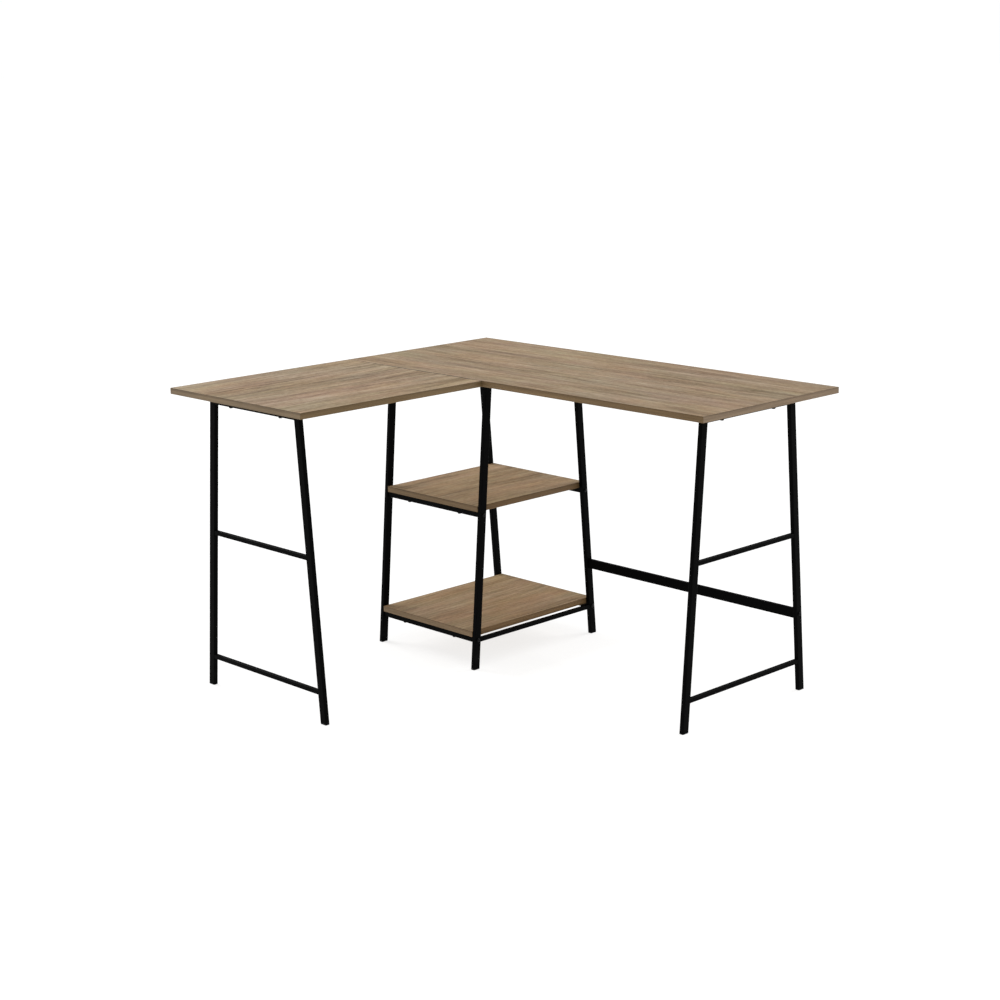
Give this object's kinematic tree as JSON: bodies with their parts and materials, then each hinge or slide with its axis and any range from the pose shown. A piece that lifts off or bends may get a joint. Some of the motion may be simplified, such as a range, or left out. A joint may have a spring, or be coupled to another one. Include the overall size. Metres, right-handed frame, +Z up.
{
  "type": "corner desk",
  "caption": "L-shaped corner desk: laminated wood tops on splayed black steel tube trestles, with open shelves under the corner and a stretcher behind the knee space.",
  "frame": {"origin": "on the floor, under the middle of the desk's outline", "axes": "+Z up; +X along the main top, towards its free right end; +Y from the return top's free front end to the main top's back edge"},
  "size_m": [1.2, 1.067, 0.762],
  "materials": {
    "board": "matte oak-look melamine laminate, taupe brown, fine straight grain",
    "edge_band": "wood-look edge strip, darker than the board",
    "black_steel": "satin black powder coat with a fine texture",
    "foot_plastic": "black moulded plastic, slightly scuffed",
    "black_bolt": "black oxide",
    "zinc_steel": "bright zinc plate"
  },
  "bodies": {
    "root": {"main_top": "board", "return_top": "board", "upper_shelf": "board", "lower_shelf": "board", "main_top_edge_band": "edge_band", "return_top_edge_band": "edge_band", "upper_shelf_edge_band": "edge_band", "lower_shelf_edge_band": "edge_band", "right_front_leg": "black_steel", "right_back_leg": "black_steel", "right_top_rail": "black_steel", "right_mid_rung": "black_steel", "right_low_rung": "black_steel", "return_left_leg": "black_steel", "return_right_leg": "black_steel", "return_top_rail": "black_steel", "return_mid_rung": "black_steel", "return_low_rung": "black_steel", "shelf_left_front_leg": "black_steel", "shelf_left_back_leg": "black_steel", "shelf_left_top_rail": "black_steel", "shelf_left_low_rung": "black_steel", "shelf_right_front_leg": "black_steel", "shelf_right_back_leg": "black_steel", "shelf_right_top_rail": "black_steel", "shelf_right_low_rung": "black_steel", "right_front_foot": "foot_plastic", "right_back_foot": "foot_plastic", "return_left_foot": "foot_plastic", "return_right_foot": "foot_plastic", "shelf_left_front_foot": "foot_plastic", "shelf_left_back_foot": "foot_plastic", "shelf_right_front_foot": "foot_plastic", "shelf_right_back_foot": "foot_plastic", "upper_front_rail": "black_steel", "upper_back_rail": "black_steel", "lower_front_rail": "black_steel", "lower_back_rail": "black_steel", "stretcher": "black_steel", "seam_plate_left": "zinc_steel", "seam_plate_right": "zinc_steel", "seam_plate_screws": "zinc_steel", "top_bolts": "black_bolt", "top_bolt_inserts": "zinc_steel", "shelf_bolts": "black_bolt", "shelf_bolt_inserts": "zinc_steel", "rail_end_bolts": "black_bolt", "rail_end_plugs": "zinc_steel", "stretcher_bolts": "black_bolt", "stretcher_end_plugs": "zinc_steel"}
  },
  "joints": []
}
